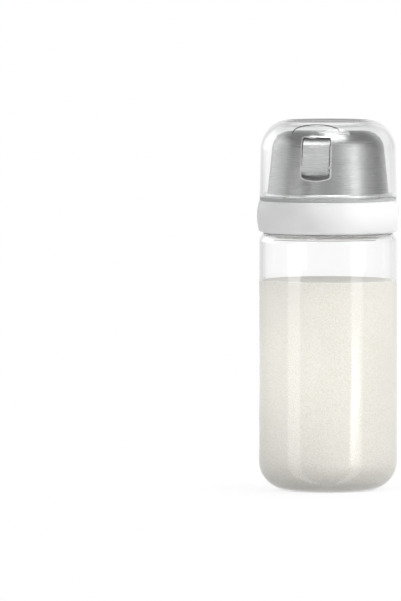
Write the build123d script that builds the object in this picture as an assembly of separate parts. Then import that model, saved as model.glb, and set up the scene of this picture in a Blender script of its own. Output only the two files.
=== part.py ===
"""Sugar dispenser with a pour flap: a glass jar with a screw-on pouring head under a clear cover.

Units are millimetres.  The jar's axis is Z, the jar stands on Z = 0 and the spout faces -Y.
Every piece is a separate solid, written to parts/NAME.step by the loop at the end.
"""
from build123d import *
from math import acos, atan2, cos, hypot, radians, sin, sqrt, tan
import os

# ---------------------------------------------------------------- driving dimensions
# glass jar
JAR_R = 32.7                # outside radius of the straight wall
JAR_WALL = 1.7
JAR_FLOOR = 2.6             # top of the glass floor
HEEL_R = 13.5               # big rounding between wall and base
PUNT_RISE = 0.9             # the base is hollowed by this much inside its standing ring
PUNT_RUN = 4.0              # width of the slope that leads up into the hollow
PUNT_ROUND = 4.0
STANDING_RING = 2.4         # width of the ring that the jar stands on
RING_ROUND = 2.0
SHOULDER_Z = 122.9          # level where the shoulder meets the neck
SHOULDER_R = 5.5
SHOULDER_FLAT = 0.4         # between the shoulder's rounding and the neck
SHOULDER_WALL = 1.8
NECK_WALL = 2.2
NECK_HEIGHT = 10.3
NECK_FOOT_R = 0.3
NECK_ROOT_R = 1.0
LIP_ROUND = 0.8

# sugar in the jar
SUGAR_LEVEL = 99.5          # its flat top above the base
SUGAR_EDGE = 0.3

# gasket and inner cap
GASKET_THICK = 1.0
GASKET_EDGE = 0.5           # the gasket stands this much proud of the neck on the outside
CAP_DECK = 1.4
CAP_SKIRT = 1.6             # thickness of the threaded skirt
CAP_ROUND = 0.3
THREAD_ROOM = 1.4           # radial room for the thread between neck and skirt
SKIRT_LIFT = 1.2            # skirt's lower edge above the jar's shoulder
DECK_REACH = 0.3            # the deck passes the collar's inner edge by this much and carries the collar
SPIGOT_WALL = 1.6           # ring on the deck that the dome is pushed on
SPIGOT_HEIGHT = 7.0
THROAT_R = 16.0
THROAT_LIP = 1.4            # wall of the raised lip round the throat
THROAT_LIP_HEIGHT = 2.4
THROAT_LIP_ROUND = 0.6

# collar
COLLAR_ROOM = 1.1           # between the cap's skirt and the collar's edges
COLLAR_BULGE = 1.15         # the barrel stands this much further out at mid height
COLLAR_WALL = 1.6
COLLAR_WEB = 1.45           # thickness of the collar's top
COLLAR_DROP = 0.9           # the collar's lower edge surrounds the jar's rounded shoulder by this much
COLLAR_TOP_ROUND = 0.6
COLLAR_FOOT_ROUND = 1.2
WEB_BITE = 0.4              # the web runs this far into the barrel wall
SEAT_RISE = 1.3             # raised seat of the dome above the collar's top
SEAT_ROUND = 0.2

# silicone ring under the clear cover
SEAL_HEIGHT = 1.25
SEAL_INSET = 0.25           # from the collar's edge
SEAL_ROUND = 0.3

# steel dome
SHEET = 0.5
DOME_HEIGHT = 31.0          # from the middle of the bead to the flat top
DOME_TAPER = 6.0            # degrees
DOME_SHOULDER_R = 9.5
BEAD_R = 1.1                # radius of the rolled bead at the foot

# pour window and its frame
WINDOW_HALF = 7.35          # half width over the frame's rim
WINDOW_DROP = 2.6           # from the dome's top to the window's top
WINDOW_HEIGHT = 21.3
ARCH_R = 18.5               # the lower edge is a shallow arch
WINDOW_TOP_R = 1.6          # corner radii
WINDOW_BOTTOM_R = 2.0
RIM_WIDTH = 0.62
RIM_PROUD = 0.35
FRAME_FLANGE = 1.3          # the frame overlaps the sheet by this much behind the window
FRAME_THICK = 0.7
FLANGE_DROP = 2.0           # the flange ends this far below the window's top
EAR_THICK = 1.4
EAR_WALL = 1.15             # steel round the pin in the ears
EAR_ROOT = 7.6              # height of the ears where they leave the flange
STOP_REACH = 1.1            # the stops reach this far into the window behind the flap
STOP_HEIGHT = 1.6
STOP_DEPTH = 1.2
STOP_RISE = 6.7             # middle of the stops above the window's lower edge

# flap and its pin
FLAP_SHEET = 0.8
DRUM_R = 6.0                # the flap's top is rolled round the pin at this radius
DRUM_END = 80.0             # degrees above the horizontal where the rolled top ends
FLAP_RECESS = 0.45          # the drum lies this deep behind the dome's outer surface
FLAP_SLOPE = 12.5           # degrees, so that the lower end stands proud of the dome
FLAP_BEND_RISE = 5.0        # the bend and the tip above the window's lower edge
FLAP_TIP_RISE = 2.3
LIP_REACH = 2.4             # the lower lip bends inwards by this much
BEND_R = 1.0
CHEEK_THICK = 1.0
CHEEK_INSET = 0.45          # from the flap's edge to the cheek
CHEEK_FOOT_RISE = 9.3
CHEEK_WALL = 0.95           # steel round the pin in the cheeks
PIN_R = 0.75
PIN_END_ROOM = 0.05         # the pin ends this far inside the ears' outer faces

# clear cover
COVER_WALL = 1.6
COVER_ROOM = 2.8            # from the dome's top to the cover's inside
COVER_DRAFT = 1.2           # degrees
COVER_SHOULDER_R = 14.0
COVER_FOOT_ROUND = 0.4
SCOOP_DEPTH = 0.5           # thumb scoop over the spout, pressed into the shoulder
SCOOP_HALF = 11.4
SCOOP_EDGE_R = 50.0         # seen from above, the scoop's upper edge is an arc of this radius
SCOOP_REACH = 9.2           # from the cover's foot to the middle of that edge, seen from above
SCOOP_CORNER_R = 2.5
SCOOP_FOOT_RISE = 1.0       # the scoop fades out this far above the foot of the shoulder

# clearances
FIT = 0.05                  # pieces pushed together
SUGAR_GAP = 0.05            # sugar against the glass
RUNNING_FIT = 0.05          # pin in the flap
PRESS_GAP = 0.02            # pin in the frame's ears
COVER_GAP = 0.25            # clear cover above its silicone ring
COVER_SIDE_GAP = 0.45       # clear cover outside the bead and its seat
BEAD_GAP = 0.1              # bead above the collar's seat
FLAP_SIDE_GAP = 0.4
FLAP_TOP_GAP = 0.15
STOP_GAP = 0.15
EAR_GAP = 0.5               # flap's edge to the ear

# ---------------------------------------------------------------- sizes that follow
# radii, from the jar outwards through the head
NECK_R = JAR_R - SHOULDER_R - SHOULDER_FLAT
MOUTH_R = NECK_R - NECK_WALL
SKIRT_IN_R = NECK_R + THREAD_ROOM
SKIRT_OUT_R = SKIRT_IN_R + CAP_SKIRT
COLLAR_IN_R = SKIRT_OUT_R + COLLAR_ROOM
COLLAR_TOP_R = COLLAR_IN_R + COLLAR_WALL
COVER_FOOT_R = COLLAR_TOP_R
SEAL_OUT_R = COLLAR_TOP_R - SEAL_INSET
SEAT_OUT_R = COVER_FOOT_R - COVER_WALL - COVER_SIDE_GAP
BEAD_MID_R = SEAT_OUT_R - BEAD_R
DOME_FOOT_R = BEAD_MID_R - BEAD_R + SHEET

# levels, from the jar's neck upwards
RIM_Z = SHOULDER_Z + NECK_HEIGHT
DECK_Z = RIM_Z + GASKET_THICK
DECK_TOP = DECK_Z + CAP_DECK
COLLAR_WEB_Z = DECK_TOP + FIT
COLLAR_TOP = COLLAR_WEB_Z + COLLAR_WEB
COLLAR_BOTTOM = SHOULDER_Z - COLLAR_DROP
SEAT_Z = COLLAR_TOP + SEAT_RISE
BEAD_Z = SEAT_Z + BEAD_GAP + BEAD_R
DOME_TOP = BEAD_Z + DOME_HEIGHT
SEAL_TOP = COLLAR_TOP + SEAL_HEIGHT
COVER_FOOT_Z = SEAL_TOP + COVER_GAP
COVER_TOP = DOME_TOP + COVER_ROOM + COVER_WALL
COVER_ARC_Z = COVER_TOP - COVER_SHOULDER_R
WINDOW_TOP = DOME_TOP - WINDOW_DROP
WINDOW_BOTTOM = WINDOW_TOP - WINDOW_HEIGHT
STOP_Z = WINDOW_BOTTOM + STOP_RISE
FLAP_BEND_Z = WINDOW_BOTTOM + FLAP_BEND_RISE
FLAP_TIP_Z = WINDOW_BOTTOM + FLAP_TIP_RISE
CHEEK_FOOT_Z = WINDOW_BOTTOM + CHEEK_FOOT_RISE
TAPER_SLOPE = tan(radians(DOME_TAPER))


def dome_radius(z, inset=0.0):
    """Radius of the dome's tapered wall at height z, inset by a distance square to the wall."""
    return DOME_FOOT_R - (z - BEAD_Z) * TAPER_SLOPE - inset / cos(radians(DOME_TAPER))


SPIGOT_TOP = DECK_TOP + SPIGOT_HEIGHT
SPIGOT_OUT_R = dome_radius(SPIGOT_TOP, SHEET) - FIT

# the pin's place: the flap's drum runs parallel to the dome at FLAP_RECESS behind its surface
OPENING_HALF = WINDOW_HALF - RIM_WIDTH
FLAP_HALF = OPENING_HALF - FLAP_SIDE_GAP
PIN_Z = WINDOW_TOP - RIM_WIDTH - FLAP_TOP_GAP - DRUM_R
TANGENT_Z = PIN_Z + DRUM_R * sin(radians(FLAP_SLOPE))
TANGENT_Y = -(dome_radius(TANGENT_Z) - FLAP_RECESS)
PIN_Y = TANGENT_Y + DRUM_R * cos(radians(FLAP_SLOPE))
BEND_Y = TANGENT_Y - (TANGENT_Z - FLAP_BEND_Z) * tan(radians(FLAP_SLOPE))
EAR_IN_X = FLAP_HALF + EAR_GAP
EAR_OUT_X = EAR_IN_X + EAR_THICK

# cutters start at NEAR from the axis, or reach FAR, past the outside of everything
NEAR = JAR_R / 3
FAR = JAR_R * 1.5


# ---------------------------------------------------------------- helpers
def section(corners):
    """Closed outline through (x, y, rounding radius) corners, as a face in the XY plane."""
    face = make_face(Polyline(*[corner[:2] for corner in corners], close=True))
    for x, y, radius in corners:
        if radius > 0:
            nearest = face.vertices().sort_by_distance((x, y, 0))[0]
            face = fillet(nearest, radius)
    return face


def turned(face):
    """Turn a face of (radius, height) points round the Z axis."""
    return revolve(Plane.XZ * face, Axis.Z, 360)


def ring(inner_r, outer_r, bottom, top, rounding=0.0):
    """Plain ring with rounded outer edges."""
    return turned(section([(inner_r, bottom, 0), (outer_r, bottom, rounding),
                           (outer_r, top, rounding), (inner_r, top, 0)]))


def dome_body(inset, bottom):
    """The space under the dome's outer surface, inset by a distance, down to a level."""
    top = DOME_TOP - inset
    return turned(section([(0, bottom, 0), (dome_radius(bottom, inset), bottom, 0),
                           (dome_radius(top, inset), top, DOME_SHOULDER_R - inset), (0, top, 0)]))


def dome_layer(outer_inset, inner_inset):
    """A skin that follows the dome's surface between two insets."""
    return dome_body(outer_inset, BEAD_Z) - dome_body(inner_inset, BEAD_Z - BEAD_R)


def arched_outline(half, top, bottom, grow=0.0):
    """The window's outline in (x, z): straight sides and top, a shallow arch below."""
    sag = ARCH_R - sqrt(ARCH_R ** 2 - half ** 2)
    sides = Polyline((-half, bottom + sag), (-half, top), (half, top), (half, bottom + sag))
    arch = ThreePointArc((half, bottom + sag), (0, bottom), (-half, bottom + sag))
    face = make_face(sides + arch)
    by_height = face.vertices().group_by(Axis.Y)
    face = fillet(by_height[-1], WINDOW_TOP_R)
    face = fillet(face.vertices().group_by(Axis.Y)[0], WINDOW_BOTTOM_R)
    return offset(face, grow) if grow else face


def towards_spout(face):
    """Carry an (x, z) outline through the spout side of the head."""
    return extrude(Plane.XZ.offset(NEAR) * face, FAR - NEAR)


def window_outline(grow=0.0):
    return arched_outline(WINDOW_HALF, WINDOW_TOP, WINDOW_BOTTOM, grow)


def lever(root_top, root_bottom, centre, radius):
    """A (y, z) face that narrows from a straight root to a round boss."""
    touches = []
    for (y, z), side in ((root_top, -1), (root_bottom, 1)):
        dy, dz = y - centre[0], z - centre[1]
        angle = atan2(dz, dy) + side * acos(radius / hypot(dy, dz))
        touches.append((centre[0] + radius * cos(angle), centre[1] + radius * sin(angle)))
    web = make_face(Polyline(root_top, touches[0], touches[1], root_bottom, close=True))
    return web + Pos(*centre) * Circle(radius)


def across(face, from_x, to_x):
    """Carry a (y, z) face from one x to another."""
    return extrude(Plane.YZ.offset(from_x) * face, to_x - from_x)


def both_sides(shape):
    return shape + mirror(shape, Plane.YZ)


# ---------------------------------------------------------------- pieces
def glass_jar():
    """Straight jar with a big heel, a shallow punt, a rounded shoulder and a plain neck."""
    in_r = JAR_R - JAR_WALL
    ring_out = JAR_R - HEEL_R
    ring_in = ring_out - STANDING_RING
    inner_shoulder = SHOULDER_Z - SHOULDER_WALL
    return turned(section([
        (0, PUNT_RISE, 0),
        (ring_in - PUNT_RUN, PUNT_RISE, PUNT_ROUND),
        (ring_in, 0, RING_ROUND),
        (JAR_R, 0, HEEL_R),
        (JAR_R, SHOULDER_Z, SHOULDER_R),
        (NECK_R, SHOULDER_Z, NECK_FOOT_R),
        (NECK_R, RIM_Z, LIP_ROUND),
        (MOUTH_R, RIM_Z, LIP_ROUND),
        (MOUTH_R, inner_shoulder, NECK_ROOT_R),
        (in_r, inner_shoulder, SHOULDER_R - JAR_WALL),
        (in_r, JAR_FLOOR, HEEL_R - JAR_WALL),
        (0, JAR_FLOOR, 0)]))


def sugar():
    """The sugar that fills the jar up to its level, with a flat top."""
    clear = JAR_WALL + SUGAR_GAP
    fill_r = JAR_R - clear
    fill_bottom = JAR_FLOOR + SUGAR_GAP
    return turned(section([
        (0, fill_bottom, 0),
        (fill_r, fill_bottom, HEEL_R - clear),
        (fill_r, SUGAR_LEVEL, SUGAR_EDGE),
        (0, SUGAR_LEVEL, 0)]))


def jar_gasket():
    """Flat silicone ring between the jar's rim and the cap."""
    return ring(MOUTH_R, NECK_R + GASKET_EDGE, RIM_Z, DECK_Z)


def inner_cap():
    """White moulding: threaded skirt, deck with the throat, and the spigot that holds the dome."""
    skirt = ring(SKIRT_IN_R, SKIRT_OUT_R, SHOULDER_Z + SKIRT_LIFT, DECK_TOP)
    deck = ring(THROAT_R, COLLAR_IN_R + DECK_REACH, DECK_Z, DECK_TOP, CAP_ROUND)
    spigot = ring(SPIGOT_OUT_R - SPIGOT_WALL, SPIGOT_OUT_R, DECK_Z, SPIGOT_TOP, CAP_ROUND)
    lip = turned(section([
        (THROAT_R, DECK_Z, 0),
        (THROAT_R + THROAT_LIP, DECK_Z, 0),
        (THROAT_R + THROAT_LIP, DECK_TOP + THROAT_LIP_HEIGHT, THROAT_LIP_ROUND),
        (THROAT_R, DECK_TOP + THROAT_LIP_HEIGHT, THROAT_LIP_ROUND)]))
    return skirt + deck + spigot + lip


def collar():
    """White barrel-shaped band with a web that sits on the cap's deck and a raised seat."""
    middle = (COLLAR_BOTTOM + COLLAR_TOP) / 2
    outside = ThreePointArc((COLLAR_TOP_R, COLLAR_BOTTOM),
                            (COLLAR_TOP_R + COLLAR_BULGE, middle), (COLLAR_TOP_R, COLLAR_TOP))
    inside = ThreePointArc((COLLAR_IN_R, COLLAR_TOP),
                           (COLLAR_IN_R + COLLAR_BULGE, middle), (COLLAR_IN_R, COLLAR_BOTTOM))
    top_edge = Line((COLLAR_TOP_R, COLLAR_TOP), (COLLAR_IN_R, COLLAR_TOP))
    bottom_edge = Line((COLLAR_IN_R, COLLAR_BOTTOM), (COLLAR_TOP_R, COLLAR_BOTTOM))
    band = make_face(outside + top_edge + inside + bottom_edge)
    for level, rounding in ((COLLAR_BOTTOM, COLLAR_FOOT_ROUND), (COLLAR_TOP, COLLAR_TOP_ROUND)):
        corner = band.vertices().sort_by_distance((COLLAR_TOP_R, level, 0))[0]
        band = fillet(corner, rounding)
    bore_r = SPIGOT_OUT_R + FIT
    web_r = COLLAR_IN_R + WEB_BITE
    web = section([(bore_r, COLLAR_WEB_Z, 0), (web_r, COLLAR_WEB_Z, 0), (web_r, COLLAR_TOP, 0),
                   (SEAT_OUT_R, COLLAR_TOP, 0), (SEAT_OUT_R, SEAT_Z, SEAT_ROUND),
                   (bore_r, SEAT_Z, SEAT_ROUND)])
    return turned(band + web)


def cover_seal():
    """Grey silicone ring on the collar that the clear cover stands on."""
    return ring(SEAT_OUT_R + FIT, SEAL_OUT_R, COLLAR_TOP, SEAL_TOP, SEAL_ROUND)


def steel_dome():
    """Drawn sheet dome with a rolled bead at its foot and the hole for the pour window."""
    bead = turned(Pos(BEAD_MID_R, BEAD_Z) * Circle(BEAD_R))
    return dome_layer(0, SHEET) + bead - towards_spout(window_outline(FIT))


def spout_frame():
    """Polished frame pushed in from behind: rim, flange, two ears for the pin, two stops."""
    opening = window_outline(-RIM_WIDTH)
    back = SHEET + FIT + FRAME_THICK
    rim = dome_layer(-RIM_PROUD, back) & towards_spout(window_outline() - opening)
    flange_outline = arched_outline(WINDOW_HALF + FRAME_FLANGE, WINDOW_TOP - FLANGE_DROP,
                                    WINDOW_BOTTOM - FRAME_FLANGE)
    flange = dome_layer(SHEET + FIT, back) & towards_spout(flange_outline - opening)
    root_y = -dome_radius(PIN_Z)
    ear_face = lever((root_y, PIN_Z + EAR_ROOT / 2), (root_y, PIN_Z - EAR_ROOT / 2),
                     (PIN_Y, PIN_Z), PIN_R + EAR_WALL)
    ears = both_sides(across(ear_face, EAR_IN_X, EAR_OUT_X)) & dome_body(SHEET + FIT, BEAD_Z)
    ears = ears - across(Pos(PIN_Y, PIN_Z) * Circle(PIN_R + PRESS_GAP), -FAR, FAR)
    stop_x = OPENING_HALF + (RIM_WIDTH - STOP_REACH) / 2
    stop_y = flap_back(STOP_Z + STOP_HEIGHT / 2) + STOP_GAP + STOP_DEPTH / 2
    stop = Pos(stop_x, stop_y, STOP_Z) * Box(STOP_REACH + RIM_WIDTH, STOP_DEPTH, STOP_HEIGHT)
    return rim + flange + ears + both_sides(stop)


def flap_back(z):
    """y of the flap's back face at a height between the bend and the drum."""
    slope = radians(FLAP_SLOPE)
    return TANGENT_Y - (TANGENT_Z - z) * tan(slope) + FLAP_SHEET / cos(slope)


def tangent_at(radius):
    """Where the rolled top at this radius about the pin runs into the sloping front."""
    slope = radians(FLAP_SLOPE)
    return PIN_Y - radius * cos(slope), PIN_Z + radius * sin(slope)


def flap():
    """Bent sheet: rolled top round the pin, sloping front, inward lower lip, two cheeks."""
    drum = CenterArc((PIN_Y, PIN_Z), DRUM_R, 180 - DRUM_END, DRUM_END - FLAP_SLOPE)
    front = FilletPolyline((TANGENT_Y, TANGENT_Z), (BEND_Y, FLAP_BEND_Z),
                           (BEND_Y + LIP_REACH, FLAP_TIP_Z), radius=BEND_R)
    skin = make_face(offset(Wire((drum + front).edges()), FLAP_SHEET, side=Side.LEFT))
    sheet = across(skin, -FLAP_HALF, FLAP_HALF)
    sheet = sheet & towards_spout(arched_outline(FLAP_HALF, WINDOW_TOP + DRUM_R, FLAP_TIP_Z))
    middle = FLAP_SHEET / 2
    middle_r = DRUM_R - middle
    drum_end = (PIN_Y - middle_r * cos(radians(DRUM_END)), PIN_Z + middle_r * sin(radians(DRUM_END)))
    foot = (flap_back(CHEEK_FOOT_Z) - middle, CHEEK_FOOT_Z)
    edge = CenterArc((PIN_Y, PIN_Z), middle_r, 180 - DRUM_END, DRUM_END - FLAP_SLOPE)
    inside = make_face(edge + Polyline(tangent_at(middle_r), foot, drum_end))
    cheek_face = inside + lever(drum_end, foot, (PIN_Y, PIN_Z), PIN_R + CHEEK_WALL)
    cheek_out = FLAP_HALF - CHEEK_INSET
    cheek = across(cheek_face, cheek_out - CHEEK_THICK, cheek_out)
    bore = across(Pos(PIN_Y, PIN_Z) * Circle(PIN_R + RUNNING_FIT), -FAR, FAR)
    return sheet + both_sides(cheek) - bore


def flap_pin():
    """Plain steel pin held by the frame's ears; the flap turns on it."""
    reach = EAR_OUT_X - PIN_END_ROOM
    return across(Pos(PIN_Y, PIN_Z) * Circle(PIN_R), -reach, reach)


def cover_body(inset, bottom):
    """The space under the cover's outer surface, inset by a distance, down to a level."""
    slope = tan(radians(COVER_DRAFT))
    side = inset / cos(radians(COVER_DRAFT))
    top = COVER_TOP - inset
    foot_r = COVER_FOOT_R - (bottom - COVER_FOOT_Z) * slope - side
    top_r = COVER_FOOT_R - (top - COVER_FOOT_Z) * slope - side
    foot_round = COVER_FOOT_ROUND if inset == 0 else 0
    return turned(section([(0, bottom, 0), (foot_r, bottom, foot_round),
                           (top_r, top, COVER_SHOULDER_R - inset), (0, top, 0)]))


def scoop():
    """What the thumb scoop takes away: a sliver of the shoulder under an arched outline."""
    arc_r = COVER_FOOT_R - (COVER_ARC_Z - COVER_FOOT_Z) * tan(radians(COVER_DRAFT)) - COVER_SHOULDER_R
    centre = (arc_r, COVER_ARC_Z - SCOOP_DEPTH)
    floor = CenterArc(centre, COVER_SHOULDER_R, 0, 90)
    sky = CenterArc(centre, COVER_SHOULDER_R + COVER_WALL, 0, 90)
    peel = turned(make_face(floor + sky + Line(floor @ 0, sky @ 0) + Line(floor @ 1, sky @ 1)))
    middle_y = SCOOP_REACH - COVER_FOOT_R
    side_y = middle_y - SCOOP_EDGE_R + sqrt(SCOOP_EDGE_R ** 2 - SCOOP_HALF ** 2)
    edge = ThreePointArc((-SCOOP_HALF, side_y), (0, middle_y), (SCOOP_HALF, side_y))
    sides = Polyline((SCOOP_HALF, side_y), (SCOOP_HALF, -FAR), (-SCOOP_HALF, -FAR), (-SCOOP_HALF, side_y))
    outline = make_face(edge + sides)
    outline = fillet(outline.vertices().group_by(Axis.Y)[-1], SCOOP_CORNER_R)
    return peel & extrude(Pos(0, 0, COVER_ARC_Z + SCOOP_FOOT_RISE) * outline, COVER_SHOULDER_R)


def clear_cover():
    """Clear lift-off cover with a thumb scoop in its shoulder over the spout."""
    return cover_body(0, COVER_FOOT_Z) - cover_body(COVER_WALL, COVER_FOOT_Z - COVER_WALL) - scoop()


PIECES = [glass_jar, sugar, jar_gasket, inner_cap, collar, cover_seal, steel_dome, spout_frame,
          flap, flap_pin, clear_cover]

os.makedirs("parts", exist_ok=True)
for piece in PIECES:
    solid = piece()
    export_step(solid, "parts/" + piece.__name__ + ".step")
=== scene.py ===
"""Dresses the sugar dispenser: glass, sugar, white plastics, brushed steel, clear cover and a studio.

Lengths are metres.  The jar's axis is Z, it stands on Z = 0 and the spout faces -Y.
"""

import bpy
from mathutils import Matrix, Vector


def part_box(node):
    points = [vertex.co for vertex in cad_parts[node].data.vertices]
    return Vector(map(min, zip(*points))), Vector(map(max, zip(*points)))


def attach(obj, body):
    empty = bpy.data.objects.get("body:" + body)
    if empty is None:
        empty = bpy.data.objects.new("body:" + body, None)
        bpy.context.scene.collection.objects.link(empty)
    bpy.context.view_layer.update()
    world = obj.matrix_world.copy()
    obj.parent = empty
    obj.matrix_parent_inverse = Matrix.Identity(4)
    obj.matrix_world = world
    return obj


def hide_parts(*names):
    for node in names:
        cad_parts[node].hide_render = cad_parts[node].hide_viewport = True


bl_info = {
    "name": "Sugar dispenser",
    "version": (1, 0, 0),
    "blender": (4, 5, 0),
    "location": "View3D > Sidebar > Sugar dispenser",
    "description": "Builds a glass sugar dispenser with a steel pouring head and its studio",
    "category": "Mesh",
}

from math import cos, pi, radians, sin, sqrt, tan

import bmesh
import bpy
from bpy.props import FloatProperty, FloatVectorProperty, PointerProperty
from mathutils import Matrix, Vector

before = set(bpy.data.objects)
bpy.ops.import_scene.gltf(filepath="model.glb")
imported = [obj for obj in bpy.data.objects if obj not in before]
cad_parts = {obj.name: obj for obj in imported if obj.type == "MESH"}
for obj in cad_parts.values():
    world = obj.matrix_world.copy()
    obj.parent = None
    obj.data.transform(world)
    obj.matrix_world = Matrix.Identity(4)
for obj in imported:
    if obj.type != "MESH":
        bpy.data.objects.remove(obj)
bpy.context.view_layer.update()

MM = 0.001
FULL_TURN = 2 * pi
PANEL_CENTRE = Vector((0, 0, 0.12))
PANEL_RADIUS = 1.25
BACKDROP = 26               # degrees behind the jar that the wrap panel leaves open
WRAP_SPAN = (-80, 88)       # elevations that the wrap panel covers
WRAP_RADIUS = PANEL_RADIUS * 1.04   # it stands behind the lit panels
LOW_JOIN = (-1, 2)          # elevations between which its low tones give way to the high ones
TOP_JOIN = (28, 42)         # and the high ones to those from above
BRIGHTEST = 4.0             # tone of a full white stop of the wrap panel
# (degrees from the camera's side, tone) of the wrap panel: what the jar's wall and the dome's wall reflect,
# and what comes from above
LOW_TONES = ((-180, 0.8), (-150, 0.7), (-110, 0.7), (-80, 0.8), (-73, 0.9), (-68, 2.9), (-50, 2.9),
             (-45, 0.8), (-20, 0.7), (20, 0.7), (36, 0.8), (40, 2.6), (54, 2.6), (62, 0.9), (90, 0.7),
             (110, 0.8), (150, 0.85), (180, 0.9))
HIGH_TONES = ((-180, 0.55), (-155, 0.8), (-138, 1.4), (-110, 1.2), (-95, 1.05), (-86, 0.7), (-76, 0.36),
              (-60, 0.36), (-40, 0.42), (-10, 0.53), (16, 0.65), (34, 1.25), (50, 1.85), (60, 1.7),
              (72, 0.85), (90, 0.5), (112, 0.33), (150, 0.75), (180, 1.0))
TOP_TONES = ((-180, 0.34), (180, 0.34))
# name, degrees from the camera's side, elevation, height of its aim, size, power, what else is set
SOFTBOXES = (
    ("key softbox", 60, 28, 0.12, (0.5, 1.1), 4.4, {}),
    ("left softbox", -32, 30, 0.12, (0.5, 1.0), 1.7, {}),
    ("back softbox", 178, 32, 0.10, (0.8, 0.6), 3.5, {}),
    ("top softbox", 40, 78, 0.12, (0.5, 0.5), 3.4, {"shown": True}),
    ("collar softbox", 68, 8, 0.205, (0.3, 0.08), 0.11, {"distance": 0.8, "spread": radians(12)}),
    ("low softbox", -62, 30, 0.043, (0.3, 0.03), 0.32, {"distance": 0.8, "spread": radians(5)}),
)
# name, degrees of its middle from the camera's side, width, lower and upper elevation, tone there
LIT_PANELS = (
    ("flap card", -27.3, 17, 15, 36, 1.3, 1.3),
    ("flap spot", -42, 22, 52, 68, 4.5, 4.5),
    ("back shade", 180, 10, 1.8, 5.5, 0.35, 0.35),
    ("back veil", 180, 25.8, 5.5, 30, 1.0, 0.5),
)
WELD = 1e-7                 # vertices closer than this are one
MERGE = 1e-6                # the same for the loose triangles of a node
JAR_LOW, JAR_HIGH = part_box("glass_jar")
COVER_LOW, COVER_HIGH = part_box("clear_cover")
DOME_LOW, DOME_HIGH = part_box("steel_dome")
COLLAR_LOW, COLLAR_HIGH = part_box("collar")
SUGAR_LOW, SUGAR_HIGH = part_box("sugar")
CAP_LOW, CAP_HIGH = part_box("inner_cap")
SEAL_LOW, SEAL_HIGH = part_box("cover_seal")
GASKET_LOW, GASKET_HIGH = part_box("jar_gasket")
COVER_RADIUS = COVER_HIGH.x + 0.009 * MM    # true foot radius; the node's facets fall short of it

# small and hidden forms that the sidebar doesn't offer
PUNT_RISE = 0.9 * MM        # the jar's base is hollowed by this much inside its standing ring
PUNT_RUN = 4.0 * MM         # width and rounding of the slope into the hollow
STANDING_RING = 2.4 * MM    # width of the ring that the jar stands on
RING_ROUND = 2.0 * MM
SHOULDER_WALL = 1.8 * MM
NECK_FOOT = 0.3 * MM        # roundings at the foot and the root of the neck and at its lip
NECK_ROOT = 1.0 * MM
LIP = 0.8 * MM
THREAD_START = 2.4 * MM     # above the shoulder
THREAD_TURNS = 1.6
THREAD_SUNK = 0.15 * MM     # how far a thread's root runs into its wall
THREAD_FADE = 0.12          # share of a turn's rise in which a thread's end fades
CAP_THREAD = 0.35 * MM      # depth of the cap's thread
CAP_THREAD_START = 1.8 * MM
SKIRT_IN, SKIRT_OUT = 28.2 * MM, 29.8 * MM          # radii of the cap's threaded skirt
SPIGOT_IN, SPIGOT_OUT = 26.28 * MM, 27.88 * MM      # radii of the ring that carries the dome
THROAT_IN, THROAT_OUT = 16.0 * MM, 17.4 * MM        # radii of the lip round the cap's throat
THROAT_RISE = 2.4 * MM      # height of that lip
THROAT_ROUND = 0.6 * MM
DECK = 1.4 * MM             # thickness of the cap's deck
CAP_ROUND = 0.3 * MM
SEAT_IN, SEAT_OUT = 27.93 * MM, 30.45 * MM          # radii of the collar's raised seat
SEAT_ROUND = 0.2 * MM
WEB = 1.45 * MM             # thickness of the collar's top
SEAL_IN = 30.5 * MM         # inside radius of the grey ring
SEAL_ROUND = 0.3 * MM
GASKET_WIDTH = 2.7 * MM     # from the jar's mouth to the gasket's outer edge
GASKET_ROUND = 0.2 * MM
SUGAR_ROUND = 0.3 * MM      # rounding of the sugar's upper edge
BEAD_FOLD = 0.25 * MM       # width of the groove between the dome's wall and its bead
BEAD_DIP = 0.22 * MM        # depth of that groove
BEAD_ROUND = 0.15 * MM
WINDOW_HALF = 7.35 * MM     # half width of the pour window
WINDOW_TOP, WINDOW_FOOT = 168.0 * MM, 146.7 * MM    # heights above the table
WINDOW_ARCH = 18.5 * MM     # radius of its arched lower edge
WINDOW_LOW_ROUND, WINDOW_HIGH_ROUND = 2.0 * MM, 1.6 * MM
WINDOW_ROOM = 0.05 * MM     # the cut is larger than the window by this much all round
CUTTER = (10 * MM, 55 * MM)     # the cut reaches from here to here in front of the axis
COVER_FOOT = 0.4 * MM       # rounding of the cover's foot


def length(name, description, default, low=0.0, high=1.0):
    """A length in metres that the sidebar shows in the scene's units."""
    return FloatProperty(name=name, description=description, default=default, min=low, max=high,
                         unit="LENGTH", subtype="DISTANCE", precision=5)


def share(name, description, default, high=1.0):
    return FloatProperty(name=name, description=description, default=default, min=0.0, max=high)


def colour(name, description, default):
    return FloatVectorProperty(name=name, description=description, default=default,
                               subtype="COLOR", size=3, min=0.0, max=1.0)


def angle(name, description, degrees, low=-360.0, high=360.0):
    return FloatProperty(name=name, description=description, default=radians(degrees),
                         min=radians(low), max=radians(high), unit="ROTATION", subtype="ANGLE")


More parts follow.
